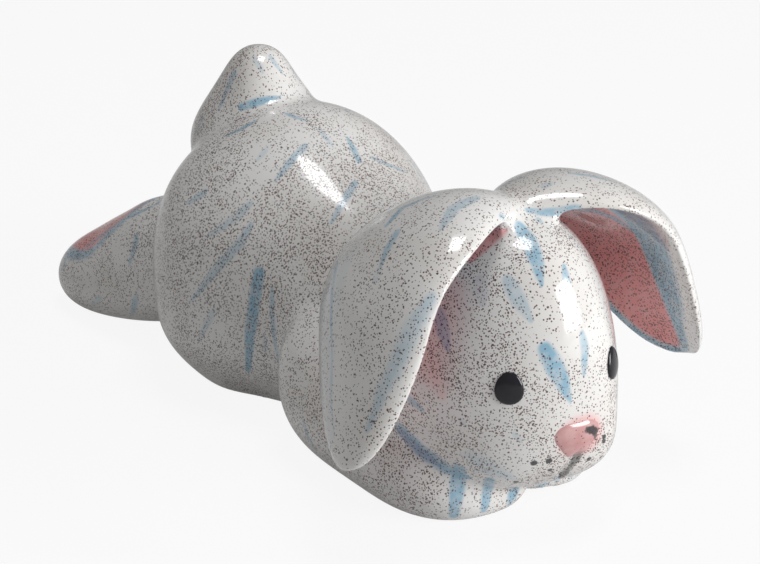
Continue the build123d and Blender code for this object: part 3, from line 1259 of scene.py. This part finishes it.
    def _sole(self, side: int, name: str) -> None:
        """Paints the upturned sole of a hind foot pink with a blue border.

        Args:
            side: 1 on the rabbit's right, where the sole's place is written down, and -1 on its left.
            name: the foot's node.
        """
        index = np.nonzero(self.skin.owned(name) & (self.normals[:, 2] > 0.1))[0]
        offset = self.spots[index][:, :2] * (side, 1) - np.array(self.sole_centre)
        way = np.array(self.sole_way)
        along = offset @ way / self.sole_half[1]
        beside = (offset[:, 0] * way[1] - offset[:, 1] * way[0]) / self.sole_half[0]
        gap = np.hypot(along, beside)
        pink = soft_step(gap, 1.02, 0.9)
        blue = soft_step(gap, 1.22, 1.08) * (1 - pink)
        self._raise(Wash.PINK, index, pink * 0.85)
        self._raise(Wash.BLUE, index, blue * 0.75)


@dataclass
class Eye:
    """A glossy drop of black enamel, broad below and narrower above."""

    skin: GlazedSkin
    node: str
    half_width: float = 3.85 * MM
    half_height: float = 4.6 * MM
    rise: float = 1.15 * MM
    taper: float = 0.14
    segments: int = 48

    def build(self, material: bpy.types.Material) -> bpy.types.Object:
        """Makes the eye on the skin, where its CAD node is.

        Args:
            material: its enamel.

        Returns:
            The object.
        """
        low, high = (Vector(corner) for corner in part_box(self.node))
        seat, normal, _, _ = self.skin.tree.find_nearest((low + high) / 2)
        across = Vector((0, 0, 1)).cross(normal).normalized()
        upright = normal.cross(across)
        drop = bmesh.new()
        bmesh.ops.create_uvsphere(drop, u_segments=self.segments, v_segments=self.segments // 2, radius=1)
        for vertex in drop.verts:
            x, y, z = vertex.co
            x *= self.half_width * (1 - self.taper * y)
            vertex.co = seat + across * x + upright * (y * self.half_height) + normal * (z * self.rise)
        return finished(drop, "glossy_" + self.node, self.node, material)


@dataclass
class Nose:
    """A soft triangular pad of pink glaze, laid on the tip of the face."""

    skin: GlazedSkin
    node: str = "nose"
    half_width: float = 6.7 * MM
    half_height: float = 5.5 * MM
    aside: float = 1.7 * MM
    rise: float = 1.1 * MM
    sink: float = 0.25 * MM
    corners: float = 0.13
    face_turn: float = 3.8
    segments: int = 64

    def build(self, material: bpy.types.Material) -> bpy.types.Object:
        """Makes the nose on the skin, where its CAD node is.

        Args:
            material: its glaze.

        Returns:
            The object.
        """
        turn = math.radians(self.face_turn)
        ahead = Vector((-math.sin(turn), -math.cos(turn), 0))
        across = Vector((math.cos(turn), -math.sin(turn), 0))
        low, high = (Vector(corner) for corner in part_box(self.node))
        middle = (low + high) / 2 + across * self.aside
        pad = bmesh.new()
        bmesh.ops.create_uvsphere(pad, u_segments=self.segments, v_segments=self.segments // 3, radius=1)
        for vertex in pad.verts:
            x, y, z = vertex.co
            reach = 1 + self.corners * math.cos(3 * (math.atan2(y, x) + math.pi / 2))
            place = middle + across * (x * reach * self.half_width)
            place.z += y * reach * self.half_height
            seat = self.skin.tree.ray_cast(place + ahead * 0.03, -ahead)[0]
            lift = z * self.rise if z > 0 else z * self.sink * 4
            vertex.co = seat + ahead * (lift - self.sink)
        return finished(pad, "glazed_nose", self.node, material)


def finished(shape: bmesh.types.BMesh, name: str, node: str, material: bpy.types.Material
             ) -> bpy.types.Object:
    """Turns a shape into a smooth dressed object.

    Args:
        shape: the shape, which is freed.
        name: the object's name.
        node: the CAD node that it stands for.
        material: its finish.

    Returns:
        The object.
    """
    face_outwards(shape)
    mesh = as_mesh(shape, name)
    mesh.shade_smooth()
    return dressed(mesh, node, material)


@dataclass(frozen=True)
class Lamp:
    """A rectangular soft lamp: its place and size are in metres."""

    name: str
    place: Place
    size: tuple[float, float]
    watts: float

    def build(self, target: Vector) -> None:
        """Makes the lamp, turned to a target."""
        light = bpy.data.lights.new(self.name, "AREA")
        light.shape = "RECTANGLE"
        light.size, light.size_y = self.size
        light.energy = self.watts
        point_at(linked(self.name, light), Vector(self.place), target)


@dataclass
class Studio:
    """Pale floor, soft lamps and an even surround."""

    camera: PhotoCamera
    lamps: tuple[Lamp, ...] = (
        Lamp("key_window", (0.44, -0.86, 0.33), (0.5, 0.52), 8.5),
        Lamp("top", (0.1, -0.1, 1.3), (0.4, 0.4), 5.4),
        Lamp("back_fill", (-0.9, 0.5, 0.75), (1.2, 1.2), 1.1),
    )
    floor_size: float = 6.0
    floor_tone: Colour = (0.72, 0.72, 0.72, 1.0)
    mirrored: float = 0.2
    floor_glow: float = 0.9
    surround: float = 0.135
    white: Colour = (1.0, 1.0, 1.0, 1.0)

    def build(self) -> None:
        """Makes the floor, the lamps and the world."""
        self._floor()
        self._world()
        for lamp in self.lamps:
            lamp.build(Vector(self.camera.aim))
        bpy.context.scene.view_settings.view_transform = "Standard"

    def _floor(self) -> None:
        """A plain pale floor that looks white to the camera but keeps the shadow."""
        plane = bmesh.new()
        bmesh.ops.create_grid(plane, x_segments=1, y_segments=1, size=self.floor_size / 2)
        mesh = as_mesh(plane, "studio_floor")
        floor = linked("studio_floor", mesh)
        shade = Shade("pale_floor")
        shade.set(Base_Color=self.floor_tone, Roughness=0.9)
        glow = shade.node("ShaderNodeEmission", {}, {"Color": self.white, "Strength": 1.0})
        matt = Socket(shade, shade.surface.outputs[0])
        share = shade.onlooker(self.mirrored) * self.floor_glow
        mixed = shade.node("ShaderNodeMixShader", {}, {0: share, 1: matt, 2: glow})
        shade.feed(shade.output.inputs["Surface"], mixed)
        mesh.materials.append(shade.material)

    def _world(self) -> None:
        """An even pale surround, white to the camera."""
        world = bpy.data.worlds.new("surround")
        bpy.context.scene.world = world
        world.use_nodes = True
        tree = NodeTree(world.node_tree)
        output = world.node_tree.nodes.new("ShaderNodeOutputWorld")
        dim = tree.node("ShaderNodeBackground", {}, {"Color": self.white, "Strength": self.surround})
        bright = tree.node("ShaderNodeBackground", {}, {"Color": self.white, "Strength": 1.0})
        inputs = {0: tree.onlooker(self.mirrored), 1: dim, 2: bright}
        tree.feed(output.inputs["Surface"], tree.node("ShaderNodeMixShader", {}, inputs))


@dataclass
class FaceInk:
    """Whisker dots, the mouth and touches of dark glaze, by their pixels and sizes in millimetres."""

    skin: GlazedSkin
    dots: tuple[tuple[Pixel, float, float], ...] = (
        ((534, 463), 1.05, 0.95),
        ((549, 461), 1.0, 0.95),
        ((549, 457), 0.6, 0.6),
        ((550, 470), 0.75, 0.9),
        ((516, 482), 0.85, 0.9),
        ((537, 483), 0.75, 0.9),
        ((604, 437), 0.85, 0.95),
        ((604, 441), 0.8, 0.9),
        ((612, 443), 0.6, 0.85),
        ((589, 459), 0.85, 0.9),
        ((601, 457), 0.65, 0.85),
        ((586, 429), 1.2, 0.95),
        ((590, 429), 1.5, 0.95),
        ((594, 431), 1.4, 0.95),
        ((595, 436), 0.9, 0.8),
    )
    lines: tuple[tuple[Pixel, Pixel, float, float], ...] = (
        ((577, 456), (561, 477), 1.35, 0.62),
        ((610, 364), (609, 376), 0.8, 0.5),
    )

    def marks(self) -> tuple[list[InkDot], list[InkLine]]:
        """Puts the dots and lines on the skin.

        Returns:
            The dots, and the lines.
        """
        dots = []
        for pixel, radius, strength in self.dots:
            spot = self.skin.hit(pixel)
            if spot is not None:
                dots.append(InkDot(spot, radius * MM, strength))
        lines = []
        for first, second, half_width, strength in self.lines:
            start, end = self.skin.hit(first), self.skin.hit(second)
            if start is not None and end is not None:
                lines.append(InkLine(start, end, half_width * MM, strength))
        return dots, lines


def main() -> None:
    """Builds the rabbit's looks on its frame."""
    logging.basicConfig(level=logging.INFO, format="%(message)s")
    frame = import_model()
    camera = PhotoCamera()
    camera.build()
    skin = GlazedSkin(frame, camera)
    skin.build()
    Modelling(skin).shape()
    Decoration(skin).paint()
    dots, lines = FaceInk(skin).marks()
    glaze = SpeckledGlaze("speckled_glaze").build()
    finishes = {name: glaze for name in skin.nodes}
    finishes["head"] = SpeckledGlaze("speckled_face_glaze").build([*dots, *lines])
    enamel = BlackEnamel().build()
    for name in ("left_eye", "right_eye"):
        Eye(skin, name).build(enamel)
    Nose(skin).build(PinkGlaze().build(dots))
    skin.cut(finishes)
    Studio(camera).build()


if __name__ == "__main__":
    main()
